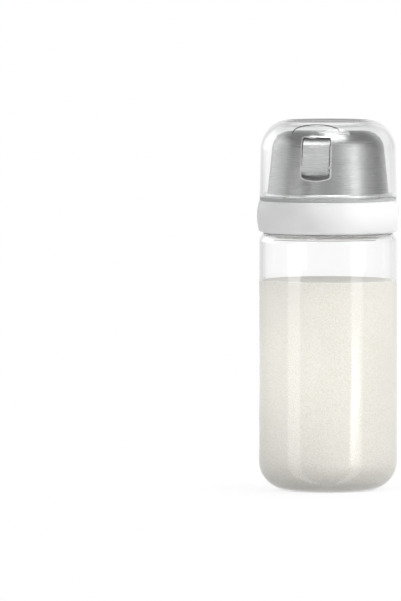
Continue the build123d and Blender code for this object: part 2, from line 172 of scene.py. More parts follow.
# ---------------------------------------------------------------- settings
class GlassSettings(bpy.types.PropertyGroup):
    """Sizes and look of the glass jar"""
    radius: length("Radius", "Outside radius of the straight wall", JAR_HIGH.x)
    wall: length("Wall", "Thickness of the straight wall", 1.77 * MM)
    floor: length("Floor", "Height of the glass floor's upper side", 2.67 * MM)
    heel: length("Heel", "Rounding between wall and base", 13.5 * MM)
    shoulder: length("Shoulder level", "Level where the shoulder meets the neck", 122.9 * MM)
    shoulder_round: length("Shoulder rounding", "Rounding between wall and shoulder", 5.5 * MM)
    neck: length("Neck radius", "Outside radius of the neck", 26.8 * MM)
    mouth: length("Mouth radius", "Inside radius of the neck", -GASKET_LOW.x - GASKET_WIDTH)
    thread: length("Thread depth", "How far the glass thread stands out from the neck", 0.8 * MM)
    pitch: length("Thread pitch", "Rise of the glass thread in one turn", 3.6 * MM)
    tint: colour("Glass tint", "Colour of the glass", (0.993, 0.996, 0.994))


class SugarSettings(bpy.types.PropertyGroup):
    """How full the jar is and what is in it"""
    level: length("Level", "Height of the sugar's surface above the table", SUGAR_HIGH.z)
    press: length("Press", "How far the sugar presses into the glass, so that no air shows", 0.02 * MM)
    grain: length("Grain", "Size of a sugar crystal", 0.55 * MM)
    light: colour("Light grains", "Colour of the lightest crystals", (0.95, 0.93, 0.88))
    # painted shade: the gaps between crystals are coloured darker than the crystals
    gap_shade: colour("Dark grains", "Colour of the gaps between crystals", (0.85, 0.82, 0.75))


class PlasticSettings(bpy.types.PropertyGroup):
    """Sizes of the collar, and look of the white cap, the collar and the two silicone rings"""
    white: colour("White", "Colour of the collar and the cap", (0.84, 0.84, 0.845))
    ring: colour("Ring", "Colour of the silicone ring under the cover", (0.43, 0.435, 0.44))
    gasket: colour("Gasket", "Colour of the ring on the jar's rim", (0.72, 0.72, 0.7))
    collar_wall: length("Collar wall", "Thickness of the collar's barrel", 1.6 * MM)
    collar_bulge: length("Collar bulge", "How far the barrel stands out at mid height", 1.13 * MM)
    collar_foot: length("Collar foot", "Rounding of the collar's lower edge", 1.2 * MM)
    collar_top: length("Collar top", "Rounding of the collar's upper edge", 0.6 * MM)


class SteelSettings(bpy.types.PropertyGroup):
    """Sizes and look of the steel dome, its window and the flap"""
    sheet: length("Sheet", "Thickness of the dome's sheet", 0.5 * MM)
    taper: angle("Taper", "Slope of the dome's wall", 6.0, 0.0, 45.0)
    shoulder: length("Shoulder", "Rounding between the dome's wall and top", 9.5 * MM)
    bead: length("Bead", "Radius of the rolled bead at the dome's foot", 1.1 * MM)
    dome: colour("Dome", "Colour of the brushed dome", (0.50, 0.502, 0.505))
    flap: colour("Flap", "Colour of the flap", (0.62, 0.622, 0.625))
    polished: colour("Polished steel", "Colour of the frame, the pin and the bead", (0.92, 0.92, 0.92))
    edge_round: length("Edge rounding", "Rounding of the flap's and the pin's edges", 0.14 * MM)
    rim_round: length("Rim rounding", "Rounding of the frame's edges", 0.26 * MM)


class CoverSettings(bpy.types.PropertyGroup):
    """Sizes and look of the clear cover"""
    wall: length("Wall", "Thickness of the cover", 1.6 * MM)
    draft: angle("Draft", "Slope of the cover's wall", 1.2, 0.0, 45.0)
    shoulder: length("Shoulder", "Rounding between the cover's wall and top", 14.0 * MM)
    scoop_depth: length("Scoop depth", "How deep the thumb scoop is pressed in", 0.3 * MM)
    scoop_half: length("Scoop half width", "Half the width of the thumb scoop", 11.4 * MM)
    scoop_arc: length("Scoop arc", "Radius of the scoop's upper edge, seen from above", 50.0 * MM)
    scoop_start: length("Scoop start", "From the axis to the middle of that edge", 23.3 * MM)
    scoop_corner: length("Scoop corner", "Rounding at both ends of that edge", 2.5 * MM)
    scoop_foot: length("Scoop foot", "Where the scoop ends, above the foot of the shoulder", 1.0 * MM)
    tint: colour("Plastic tint", "Colour of the clear plastic", (0.97, 0.972, 0.974))


class StageSettings(bpy.types.PropertyGroup):
    """Camera, floor and lamps"""
    azimuth: angle("Azimuth", "Camera's turn to the right of the spout", 13.2)
    elevation: angle("Elevation", "Camera's height above the horizon", 3.2)
    distance: length("Distance", "From the camera to the jar's axis", 4.0, 0.5, 20.0)
    view_height: length("View height", "Height of the picture at the jar", 0.2843, 0.1, 2.0)
    aim_height: length("Aim height", "Height of the picture's middle", 0.0895, 0.0, 1.0)
    aim_left: length("Aim left", "How far left of the jar's axis the picture's middle lies", 0.0603)
    surround: share("Surround", "Brightness of the surround on matt surfaces", 0.36, 5.0)
    contact: length("Contact", "Radius round the axis in which the floor keeps its own shade", 19 * MM)
    # painted shade: seen through the glass, the floor's glow is dimmed within this radius
    painted_glass_shade: length("Glass shade", "Radius in which the floor is darkest through the glass", 24 * MM)
    shade: length("Shade", "Radius past which the floor looks plain white", 62 * MM)


# ---------------------------------------------------------------- mesh tools
def round_corner(bm, vert, rounding, segments):
    """Round one corner of a wire outline: the offset along its edges is the tangent length."""
    arms = [(edge.other_vert(vert).co - vert.co).normalized() for edge in vert.link_edges]
    turn = pi - arms[0].angle(arms[1])
    bmesh.ops.bevel(bm, geom=[vert], offset=rounding * tan(turn / 2), offset_type="OFFSET",
                    segments=segments, profile=0.5, affect="VERTICES", material=-1, clamp_overlap=False)


def wire(corners, closed, flat="XZ", segments=10):
    """A bmesh with the outline through (u, v, rounding) corners in the XZ or XY plane."""
    bm = bmesh.new()
    place = (lambda u, v: (u, 0.0, v)) if flat == "XZ" else (lambda u, v: (u, v, 0.0))
    verts = [bm.verts.new(place(u, v)) for u, v, _ in corners]
    for first, second in zip(verts, verts[1:]):
        bm.edges.new((first, second))
    if closed:
        bm.edges.new((verts[-1], verts[0]))
    for vert, (_, _, rounding) in zip(verts, corners):
        if rounding > 0:
            round_corner(bm, vert, rounding, segments)
    return bm


def lathe(bm, steps):
    """Turn a wire outline in the XZ plane round the Z axis into a closed skin."""
    bmesh.ops.spin(bm, geom=bm.verts[:] + bm.edges[:], cent=(0, 0, 0), axis=(0, 0, 1),
                   dvec=(0, 0, 0), angle=FULL_TURN, steps=steps, use_merge=True)
    bmesh.ops.remove_doubles(bm, verts=bm.verts[:], dist=WELD)
    bmesh.ops.recalc_face_normals(bm, faces=bm.faces[:])
    return bm


def guard_loops(bm, low, high, near, far):
    """Cut level loops into both ends of a straight wall, so that smooth shading stays true there."""
    for level in (low + near, low + far, high - near, high - far):
        bmesh.ops.bisect_plane(bm, geom=bm.verts[:] + bm.edges[:] + bm.faces[:], dist=WELD,
                               plane_co=(0, 0, level), plane_no=(0, 0, 1))


def ring(name, inside, outside, bottom, top, rounds, segments, steps):
    """A turned ring of four corners; rounds goes round from the lower inside corner."""
    corners = ((inside, bottom), (outside, bottom), (outside, top), (inside, top))
    outline = [(radius, level, rounding) for (radius, level), rounding in zip(corners, rounds)]
    return piece(name, lathe(wire(outline, closed=True, segments=segments), steps))


def raise_face(bm, faces, move):
    """Extrude faces by a move and make the closed solid's faces point outwards."""
    grown = bmesh.ops.extrude_face_region(bm, geom=faces)["geom"]
    bmesh.ops.translate(bm, verts=[v for v in grown if isinstance(v, bmesh.types.BMVert)], vec=move)
    bmesh.ops.recalc_face_normals(bm, faces=bm.faces[:])
    return bm


def piece(name, bm, sharp=35.0):
    """Make an object of a bmesh: smooth, with edges over the given degrees kept sharp."""
    mesh = bpy.data.meshes.new(name)
    bm.to_mesh(mesh)
    bm.free()
    mesh.shade_smooth()
    mesh.set_sharp_from_angle(angle=radians(sharp))
    made = bpy.data.objects.new(name, mesh)
    bpy.context.scene.collection.objects.link(made)
    return made


def combine(target, tool, operation, sharp=35.0):
    """Apply a boolean with a tool object, which is then removed."""
    modifier = target.modifiers.new("combine", "BOOLEAN")
    modifier.operation = operation
    modifier.solver = "EXACT"
    modifier.object = tool
    bpy.context.view_layer.update()
    shaped = bpy.data.meshes.new_from_object(target.evaluated_get(bpy.context.evaluated_depsgraph_get()))
    target.modifiers.clear()
    plain = target.data
    target.data = shaped
    shaped.name = target.name
    bpy.data.meshes.remove(plain)
    bpy.data.objects.remove(tool)
    shaped.shade_smooth()
    shaped.set_sharp_from_angle(angle=radians(sharp))
    return target


def merged_copy(name, node):
    """A copy of a node's mesh with its loose triangles joined and its flats made whole."""
    bm = bmesh.new()
    bm.from_mesh(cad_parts[node].data)
    bmesh.ops.remove_doubles(bm, verts=bm.verts[:], dist=MERGE)
    bmesh.ops.dissolve_limit(bm, angle_limit=radians(0.5), verts=bm.verts[:], edges=bm.edges[:])
    return piece(name, bm, sharp=30.0)


def soften(made, width, segments=3):
    """Round the sharp edges of a finished piece."""
    modifier = made.modifiers.new("soften", "BEVEL")
    modifier.width = width
    modifier.segments = segments
    modifier.limit_method = "ANGLE"
    modifier.angle_limit = radians(40)
    modifier.harden_normals = True
    return made


def dress(made, body, slot, material, *nodes, shades=True):
    """Give a piece its finish and its body, and hide the nodes that it stands for.

    A piece with shades=False casts no shadow, so that the lamps reach what it covers.
    """
    made.visible_shadow = shades
    made.data.materials.clear()
    made.data.materials.append(material)
    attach(made, body)
    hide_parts(*nodes)


# ---------------------------------------------------------------- finishes
class Finish:
    """A node material under construction, with short names for what the finishes use."""

    def __init__(self, name):
        self.material = bpy.data.materials.new(name)
        self.material.use_nodes = True
        self.nodes = self.material.node_tree.nodes
        self.links = self.material.node_tree.links
        self.shader = self.nodes["Principled BSDF"]
        self.output = self.nodes["Material Output"]

    def set(self, **values):
        """Set the shader's plain sockets: base_color becomes Base Color."""
        for name, value in values.items():
            self.shader.inputs[name.replace("_", " ").title().replace("Ior", "IOR")].default_value = value

    def add(self, kind, **settings):
        node = self.nodes.new(kind)
        for name, value in settings.items():
            setattr(node, name, value)
        return node

    def link(self, source, target):
        self.links.new(source, target)

    def place(self, scale):
        """Object coordinates times a scale on each axis."""
        mapping = self.add("ShaderNodeMapping")
        mapping.inputs["Scale"].default_value = scale
        self.link(self.add("ShaderNodeTexCoord").outputs["Object"], mapping.inputs["Vector"])
        return mapping.outputs["Vector"]

    def noise(self, vector, scale, detail=2.0):
        node = self.add("ShaderNodeTexNoise")
        node.inputs["Scale"].default_value = scale
        node.inputs["Detail"].default_value = detail
        self.link(vector, node.inputs["Vector"])
        return node.outputs["Fac"]

    def span(self, value, low, high, from_low=0.3, from_high=0.7):
        """Spread a 0 to 1 value between two numbers."""
        node = self.add("ShaderNodeMapRange")
        node.inputs["From Min"].default_value = from_low
        node.inputs["From Max"].default_value = from_high
        node.inputs["To Min"].default_value = low
        node.inputs["To Max"].default_value = high
        self.link(value, node.inputs["Value"])
        return node.outputs["Result"]

    def blend(self, factor, first, second):
        """Mix two colours by a factor."""
        node = self.add("ShaderNodeMix", data_type="RGBA")
        self.link(factor, node.inputs["Factor"])
        node.inputs["A"].default_value = (*first, 1)
        node.inputs["B"].default_value = (*second, 1)
        return node.outputs["Result"]

    def math(self, operation, first, second):
        """The product, the sum or the larger of two values."""
        node = self.add("ShaderNodeMath", operation=operation)
        self.link(first, node.inputs[0])
        self.link(second, node.inputs[1])
        return node.outputs["Value"]

    def bump(self, height, distance, strength=1.0):
        node = self.add("ShaderNodeBump")
        node.inputs["Distance"].default_value = distance
        node.inputs["Strength"].default_value = strength
        self.link(height, node.inputs["Height"])
        self.link(node.outputs["Normal"], self.shader.inputs["Normal"])


def clear_finish(name, tint, ior, roughness):
    """Glass or clear plastic that lets the lamps through to what it holds."""
    finish = Finish(name)
    finish.set(base_color=(*tint, 1), roughness=roughness, ior=ior, transmission_weight=1.0)
    through = finish.add("ShaderNodeBsdfTransparent")
    through.inputs["Color"].default_value = (*tint, 1)
    mix = finish.add("ShaderNodeMixShader")
    finish.link(finish.add("ShaderNodeLightPath").outputs["Is Shadow Ray"], mix.inputs["Fac"])
    finish.link(finish.shader.outputs["BSDF"], mix.inputs[1])
    finish.link(through.outputs["BSDF"], mix.inputs[2])
    finish.link(mix.outputs["Shader"], finish.output.inputs["Surface"])
    return finish.material


def moulded_finish(name, base, roughness, grain, bump, glow=0.0):
    """Moulded plastic or silicone: an even colour with a faint, fine skin, and light in its depth."""
    finish = Finish(name)
    finish.set(roughness=roughness, ior=1.48, subsurface_weight=glow, subsurface_scale=2 * MM,
               subsurface_radius=(1, 1, 1))
    cloud = finish.noise(finish.place((1, 1, 1)), scale=45, detail=3)
    finish.link(finish.blend(cloud, [c * 0.985 for c in base], base), finish.shader.inputs["Base Color"])
    skin = finish.noise(finish.place((1, 1, 1)), scale=1 / grain)
    finish.link(finish.span(skin, roughness * 0.9, roughness * 1.15), finish.shader.inputs["Roughness"])
    finish.bump(skin, bump)
    return finish.material


def brushed_finish(name, base, roughness, along, bump, turned=True):
    """Steel with fine scratches that run round the axis, or straight across for a flat piece."""
    finish = Finish(name)
    finish.set(metallic=1.0, anisotropic=0.75, roughness=roughness)
    scratches = finish.noise(finish.place((1, 1, along)), scale=60, detail=4)
    coarse = finish.noise(finish.place((1, 1, along / 5)), scale=25)
    rough = finish.span(scratches, roughness * 0.8, roughness * 1.25)
    finish.link(rough, finish.shader.inputs["Roughness"])
    finish.link(finish.blend(finish.span(coarse, 0, 1), [c * 0.93 for c in base], base),
                finish.shader.inputs["Base Color"])
    finish.bump(scratches, bump)
    if turned:
        coordinates = finish.add("ShaderNodeTexCoord")
        around = finish.add("ShaderNodeVectorMath", operation="CROSS_PRODUCT")
        around.inputs[0].default_value = (0, 0, 1)
        finish.link(coordinates.outputs["Object"], around.inputs[1])
        unit = finish.add("ShaderNodeVectorMath", operation="NORMALIZE")
        finish.link(around.outputs["Vector"], unit.inputs[0])
        finish.link(unit.outputs["Vector"], finish.shader.inputs["Tangent"])
    else:
        across = finish.add("ShaderNodeCombineXYZ")
        across.inputs["X"].default_value = 1.0
        finish.link(across.outputs["Vector"], finish.shader.inputs["Tangent"])
    finish.set(anisotropic_rotation=0.25)
    return finish.material


def polished_finish(name, base, roughness):
    """Polished steel with faint polishing marks."""
    finish = Finish(name)
    finish.set(metallic=1.0, base_color=(*base, 1))
    marks = finish.noise(finish.place((1, 1, 6)), scale=400, detail=3)
    finish.link(finish.span(marks, roughness * 0.7, roughness * 1.4), finish.shader.inputs["Roughness"])
    return finish.material


def sugar_finish(settings):
    """Crystals: small cells of slightly different whites, with painted shade in their gaps and a rough
    skin.
    """
    finish = Finish("sugar crystals")
    finish.set(roughness=0.6, ior=1.5, subsurface_weight=0.4, subsurface_scale=2 * MM,
               subsurface_radius=(1, 1, 1))
    place = finish.place((1, 1, 1))
    cells = finish.add("ShaderNodeTexVoronoi", feature="F1")
    cells.inputs["Scale"].default_value = 1 / settings.grain
    finish.link(place, cells.inputs["Vector"])
    gaps = finish.span(cells.outputs["Distance"], 1.0, 0.0, 0.25, 0.75)
    # painted shade in the gaps between crystals
    finish.link(finish.blend(gaps, settings.gap_shade, settings.light), finish.shader.inputs["Base Color"])
    finish.bump(gaps, settings.grain * 0.25, 0.6)
    return finish.material


def thread_bead(radius, depth, pitch, start, turns):
    """A screw thread's round bead that fades at both ends; a negative depth points inwards."""
    root = radius - (THREAD_SUNK if depth > 0 else -THREAD_SUNK)
    crest, rounding = radius + depth, abs(depth) * 0.4
    bm = wire([(root, start - pitch / 4, 0), (crest, start - pitch / 8, rounding),
               (crest, start + pitch / 8, rounding), (root, start + pitch / 4, 0)], closed=True, segments=3)
    steps = round(96 * turns)
    end = bmesh.ops.contextual_create(bm, geom=bm.edges[:])["faces"]
    bmesh.ops.spin(bm, geom=end, cent=(0, 0, 0), axis=(0, 0, 1), angle=FULL_TURN * turns,
                   dvec=(0, 0, pitch * turns / steps), steps=steps)
    for vert in bm.verts:
        reach = Vector((vert.co.x, vert.co.y)).length
        done = (vert.co.z - start) / pitch + 0.25
        left = turns + 0.5 - done
        fade = min(1.0, max(0.0, done / THREAD_FADE), max(0.0, left / THREAD_FADE))
        wanted = root + (reach - root) * fade
        vert.co.x *= wanted / reach
        vert.co.y *= wanted / reach
    bmesh.ops.recalc_face_normals(bm, faces=bm.faces[:])
    return bm


# ---------------------------------------------------------------- operators
class DISPENSER_OT_glass_jar(bpy.types.Operator):
    """Turn the glass jar with its heel, shoulder, neck and thread"""
    bl_idname = "dispenser.glass_jar"
    bl_label = "Glass jar"

    def execute(self, context):
        s = context.scene.dispenser_glass
        inner = s.radius - s.wall
        ring_in = s.radius - s.heel - STANDING_RING
        under_shoulder = s.shoulder - SHOULDER_WALL
        rim = JAR_HIGH.z
        bm = wire([
            (0, PUNT_RISE, 0),
            (ring_in - PUNT_RUN, PUNT_RISE, PUNT_RUN),
            (ring_in, 0, RING_ROUND),
            (s.radius, 0, s.heel),
            (s.radius, s.shoulder, s.shoulder_round),
            (s.neck, s.shoulder, NECK_FOOT),
            (s.neck, rim, LIP),
            (s.mouth, rim, LIP),
            (s.mouth, under_shoulder, NECK_ROOT),
            (inner, under_shoulder, s.shoulder_round - s.wall),
            (inner, s.floor, s.heel - s.wall),
            (0, s.floor, 0)], closed=False, segments=16)
        lathe(bm, 192)
        guard_loops(bm, s.heel, s.shoulder - s.shoulder_round, 0.4 * MM, 3 * MM)
        jar = piece("glass_jar_dressed", bm)
        bead = thread_bead(s.neck, s.thread, s.pitch, s.shoulder + THREAD_START, THREAD_TURNS)
        combine(jar, piece("neck thread", bead), "UNION")
        glass = clear_finish("clear glass", s.tint, 1.47, 0.0)
        dress(jar, "jar", "glass", glass, "glass_jar")
        return {"FINISHED"}


class DISPENSER_OT_sugar(bpy.types.Operator):
    """Fill the jar with sugar up to its level"""
    bl_idname = "dispenser.sugar"
    bl_label = "Sugar"

    def execute(self, context):
        s = context.scene.dispenser_sugar
        glass = context.scene.dispenser_glass
        radius = glass.radius - glass.wall + s.press
        bottom = glass.floor - s.press
        bm = wire([(0, bottom, 0), (radius, bottom, glass.heel - glass.wall + s.press),
                   (radius, s.level, SUGAR_ROUND), (0, s.level, 0)], closed=False, segments=16)
        lathe(bm, 192)
        dress(piece("sugar_dressed", bm, sharp=60), "jar", "sugar", sugar_finish(s), "sugar")
        return {"FINISHED"}


class DISPENSER_OT_cap(bpy.types.Operator):
    """Turn the white inner cap with its skirt, deck, throat and spigot, and its gasket"""
    bl_idname = "dispenser.cap"
    bl_label = "Inner cap and gasket"

    def execute(self, context):
        s = context.scene.dispenser_plastic
        deck, deck_top = GASKET_HIGH.z, GASKET_HIGH.z + DECK
        throat_top = deck_top + THROAT_RISE
        bm = wire([
            (SKIRT_IN, CAP_LOW.z, CAP_ROUND), (SKIRT_IN, deck, 0),
            (THROAT_IN, deck, 0), (THROAT_IN, throat_top, THROAT_ROUND),
            (THROAT_OUT, throat_top, THROAT_ROUND), (THROAT_OUT, deck_top, 0),
            (SPIGOT_IN, deck_top, 0), (SPIGOT_IN, CAP_HIGH.z, CAP_ROUND),
            (SPIGOT_OUT, CAP_HIGH.z, CAP_ROUND), (SPIGOT_OUT, deck_top, 0),
            (CAP_HIGH.x, deck_top, CAP_ROUND), (CAP_HIGH.x, deck, CAP_ROUND),
            (SKIRT_OUT, deck, 0), (SKIRT_OUT, CAP_LOW.z, CAP_ROUND)], closed=True, segments=4)
        cap = piece("inner_cap_dressed", lathe(bm, 128))
        glass = context.scene.dispenser_glass
        bead = thread_bead(SKIRT_IN, -CAP_THREAD, glass.pitch, CAP_LOW.z + CAP_THREAD_START, THREAD_TURNS)
        combine(cap, piece("cap thread", bead), "UNION")
        white = moulded_finish("white plastic cap", s.white, 0.35, 0.6 * MM, 2e-6, 1.0)
        dress(cap, "head", "white_plastic", white, "inner_cap", shades=False)
        gasket = ring("jar_gasket_dressed", glass.mouth, GASKET_HIGH.x, GASKET_LOW.z, GASKET_HIGH.z,
                      [GASKET_ROUND] * 4, 4, 128)
        pale = moulded_finish("pale silicone", s.gasket, 0.6, 0.4 * MM, 4e-6)
        dress(gasket, "gasket", "clear_silicone", pale, "jar_gasket", shades=False)
        return {"FINISHED"}


class DISPENSER_OT_collar(bpy.types.Operator):
    """Turn the white barrel-shaped collar and the grey ring on it"""
    bl_idname = "dispenser.collar"
    bl_label = "Collar and ring"

    def execute(self, context):
        s = context.scene.dispenser_plastic
        inner = COVER_RADIUS - s.collar_wall
        bottom, top, seat = COLLAR_LOW.z, SEAL_LOW.z, COLLAR_HIGH.z
        bm = wire([
            (COVER_RADIUS, bottom, s.collar_foot), (COVER_RADIUS, top, s.collar_top),
            (SEAT_OUT, top, 0), (SEAT_OUT, seat, SEAT_ROUND), (SEAT_IN, seat, SEAT_ROUND),
            (SEAT_IN, top - WEB, 0), (inner, top - WEB, 0), (inner, bottom, 0)],
            closed=True, segments=6)
        walls = [e for e in bm.edges if abs(e.verts[0].co.x - e.verts[1].co.x) < WELD
                 and e.verts[0].co.x > inner - WELD and e.calc_length() > 5 * MM]
        bmesh.ops.subdivide_edges(bm, edges=walls, cuts=14)
        middle, half = (bottom + top) / 2, (top - bottom) / 2
        for vert in bm.verts:
            if vert.co.x > inner - WELD and vert.co.z < top + WELD:
                vert.co.x += s.collar_bulge * (1 - ((vert.co.z - middle) / half) ** 2)
        collar = piece("collar_dressed", lathe(bm, 192))
        white = moulded_finish("white plastic collar", s.white, 0.3, 0.8 * MM, 1e-6, 0.8)
        dress(collar, "head", "white_plastic", white, "collar", shades=False)
        seal = ring("cover_seal_dressed", SEAL_IN, SEAL_HIGH.x, SEAL_LOW.z, SEAL_HIGH.z,
                    (0, SEAL_ROUND, SEAL_ROUND, 0), 6, 192)
        grey = moulded_finish("grey silicone", s.ring, 0.5, 0.4 * MM, 4e-6)
        dress(seal, "head", "grey_silicone", grey, "cover_seal")
        return {"FINISHED"}


def dome_radius(z, s):
    """Outside radius of the dome's tapered wall at a height."""
    foot = DOME_HIGH.x - 2 * s.bead + s.sheet
    return foot - (z - DOME_LOW.z - s.bead) * tan(s.taper)


def window_cutter():
    """What the pour window takes out of the dome: round corners above and a shallow arch below."""
    half, arch = WINDOW_HALF, WINDOW_ARCH
    spring = WINDOW_FOOT + arch - sqrt(arch ** 2 - half ** 2)
    bm = wire([(-half, spring, WINDOW_LOW_ROUND), (-half, WINDOW_TOP, WINDOW_HIGH_ROUND),
               (half, WINDOW_TOP, WINDOW_HIGH_ROUND), (half, spring, WINDOW_LOW_ROUND)],
              closed=True, segments=8)
    sill = [e for e in bm.edges
            if all(v.co.z < spring + WELD for v in e.verts) and e.calc_length() > 5 * MM]
    bmesh.ops.subdivide_edges(bm, edges=sill, cuts=16)
    for vert in bm.verts:
        if vert.co.z < spring + WELD and abs(vert.co.x) < half - WINDOW_LOW_ROUND + WELD:
            vert.co.z = WINDOW_FOOT + arch - sqrt(arch ** 2 - vert.co.x ** 2)
    face = bmesh.ops.contextual_create(bm, geom=bm.edges[:])["faces"]
    bmesh.ops.inset_region(bm, faces=face, thickness=WINDOW_ROOM, use_even_offset=True, use_outset=True)
    near, far = CUTTER
    bmesh.ops.translate(bm, verts=bm.verts[:], vec=(0, -near, 0))
    return piece("window cutter", raise_face(bm, bm.faces[:], (0, near - far, 0)))


class DISPENSER_OT_dome(bpy.types.Operator):
    """Turn the brushed steel dome with its bead and cut the pour window"""
    bl_idname = "dispenser.dome"
    bl_label = "Steel dome"

    def execute(self, context):
        s = context.scene.dispenser_steel
        bead_z = DOME_LOW.z + s.bead
        bead_top = bead_z + s.bead
        top = DOME_HIGH.z
        lean = s.sheet / cos(s.taper)
        inner_foot = dome_radius(bead_z, s) - s.sheet
        bm = wire([
            (0, top, 0), (dome_radius(top, s), top, s.shoulder),
            (dome_radius(bead_top, s), bead_top - BEAD_DIP, 0),
            (dome_radius(bead_top, s) + BEAD_FOLD, bead_top, BEAD_ROUND),
            (DOME_HIGH.x, bead_top, s.bead), (DOME_HIGH.x, DOME_LOW.z, s.bead),
            (inner_foot, DOME_LOW.z, s.bead), (inner_foot, bead_z, 0),
            (dome_radius(top - s.sheet, s) - lean, top - s.sheet, s.shoulder - s.sheet),
            (0, top - s.sheet, 0)], closed=False, segments=20)
        lathe(bm, 256)
        guard_loops(bm, bead_top, top - s.shoulder, 0.5 * MM, 2 * MM)
        dome = piece("steel_dome_dressed", bm, sharp=40)
        combine(dome, window_cutter(), "DIFFERENCE", sharp=40)
        brushed = brushed_finish("brushed dome", s.dome, 0.30, 60, 6e-6)
        dress(dome, "head", "brushed_steel", brushed, "steel_dome")
        dome.data.materials.append(polished_finish("polished bead", s.polished, 0.32))
        for face in dome.data.polygons:
            centre = face.center
            if centre.z < bead_top + 0.02 * MM and Vector((centre.x, centre.y)).length > inner_foot:
                face.material_index = 1
        return {"FINISHED"}


class DISPENSER_OT_spout(bpy.types.Operator):
    """Dress the window's frame, the flap and its pin"""
    bl_idname = "dispenser.spout"
    bl_label = "Spout frame, flap and pin"

    def execute(self, context):
        s = context.scene.dispenser_steel
        polished = polished_finish("polished frame", s.polished, 0.3)
        spout = soften(merged_copy("spout_frame_dressed", "spout_frame"), s.rim_round, 4)
        dress(spout, "head", "polished_steel", polished, "spout_frame")
        pin = soften(merged_copy("flap_pin_dressed", "flap_pin"), s.edge_round)
        dress(pin, "head", "polished_steel", polished, "flap_pin")
        flap = soften(merged_copy("flap_dressed", "flap"), s.edge_round)
        brushed = brushed_finish("brushed flap", s.flap, 0.28, 60, 4e-6, turned=False)
        dress(flap, "flap", "flap_steel", brushed, "flap")
        return {"FINISHED"}


def cover_wire(s):
    """Outline of the cover's section."""
    slope = tan(s.draft)
    side = s.wall / cos(s.draft)
    height = COVER_HIGH.z - COVER_LOW.z
    inner_height = height - s.wall
    return wire([
        (0, COVER_HIGH.z, 0),
        (COVER_RADIUS - height * slope, COVER_HIGH.z, s.shoulder),
        (COVER_RADIUS, COVER_LOW.z, COVER_FOOT),
        (COVER_RADIUS - side, COVER_LOW.z, 0),
        (COVER_RADIUS - inner_height * slope - side, COVER_HIGH.z - s.wall, s.shoulder - s.wall),
        (0, COVER_HIGH.z - s.wall, 0)], closed=False, segments=32)


def bowed(bm, half, level, radius):
    """Bend the straight edge at this level into a shallow arc that is nearest to y = 0 at its middle."""
    straight = [e for e in bm.edges if all(abs(v.co.y - level) < WELD for v in e.verts)]
    bmesh.ops.subdivide_edges(bm, edges=straight, cuts=24)
    for vert in bm.verts:
        if abs(vert.co.y - level) < WELD:
            vert.co.y += sqrt(radius ** 2 - vert.co.x ** 2) - sqrt(radius ** 2 - half ** 2)


def scoop_tool(s):
    """What the thumb scoop takes away: a sliver of the shoulder under an arched outline."""
    side = COVER_RADIUS - (COVER_HIGH.z - COVER_LOW.z) * tan(s.draft)
    past = 2 * MM               # the tool passes the shoulder by this much
    start = side - s.shoulder - past
    arc_z, floor_z = COVER_HIGH.z - s.shoulder, COVER_HIGH.z - s.scoop_depth
    end = arc_z - s.scoop_depth - past
    peel = wire([(start, floor_z, 0), (side, floor_z, s.shoulder), (side, end, 0), (side + s.wall, end, 0),
                 (side + s.wall, floor_z + s.wall, s.shoulder + s.wall), (start, floor_z + s.wall, 0)],
                closed=True, segments=40)
    tool = piece("scoop", lathe(peel, 256))
    edge_y = -(s.scoop_start + s.scoop_arc - sqrt(s.scoop_arc ** 2 - s.scoop_half ** 2))
    straight = s.scoop_half - s.scoop_corner
    outline = wire([(-s.scoop_half, edge_y, s.scoop_corner), (s.scoop_half, edge_y, s.scoop_corner),
                    (s.scoop_half, -2 * side, 0), (-s.scoop_half, -2 * side, 0)],
                   closed=True, flat="XY", segments=8)
    bowed(outline, straight, edge_y, s.scoop_arc)
    face = bmesh.ops.contextual_create(outline, geom=outline.edges[:])["faces"]
    bmesh.ops.translate(outline, verts=outline.verts[:], vec=(0, 0, arc_z + s.scoop_foot))
    raise_face(outline, face, (0, 0, s.shoulder))
    return combine(tool, piece("scoop outline", outline), "INTERSECT")


class DISPENSER_OT_cover(bpy.types.Operator):
    """Turn the clear cover and press its thumb scoop in"""
    bl_idname = "dispenser.cover"
    bl_label = "Clear cover"

    def execute(self, context):
        s = context.scene.dispenser_cover
        bm = lathe(cover_wire(s), 256)
        guard_loops(bm, COVER_LOW.z, COVER_HIGH.z - s.shoulder, 1 * MM, 3 * MM)
        cover = piece("clear_cover_dressed", bm)
        combine(cover, scoop_tool(s), "DIFFERENCE", sharp=12)
        plastic = clear_finish("clear plastic", s.tint, 1.47, 0.0)
        dress(cover, "cover", "clear_plastic", plastic, "clear_cover")
        return {"FINISHED"}


def around(azimuth, elevation, distance):
    """A place at this distance from the origin, its azimuth counted from the spout's side."""
    level = cos(elevation)
    return Vector((sin(azimuth) * level, -cos(azimuth) * level, sin(elevation))) * distance


def softbox(name, azimuth, elevation, aim, size, power, distance=1.0, spread=pi, shown=False):
    """A large soft lamp that faces the axis at height aim; reflections see it only when it is shown."""
    light = bpy.data.lights.new(name, "AREA")
    light.shape = "RECTANGLE"
    light.size, light.size_y = size
    light.energy = power
    light.spread = spread
    lamp = bpy.data.objects.new(name, light)
    bpy.context.scene.collection.objects.link(lamp)
    centre = Vector((0, 0, aim))
    lamp.location = centre + around(azimuth, elevation, distance)
    lamp.rotation_euler = (centre - lamp.location).to_track_quat("-Z", "Y").to_euler()
    lamp.visible_camera = False
    lamp.visible_glossy = shown
    lamp.visible_transmission = shown


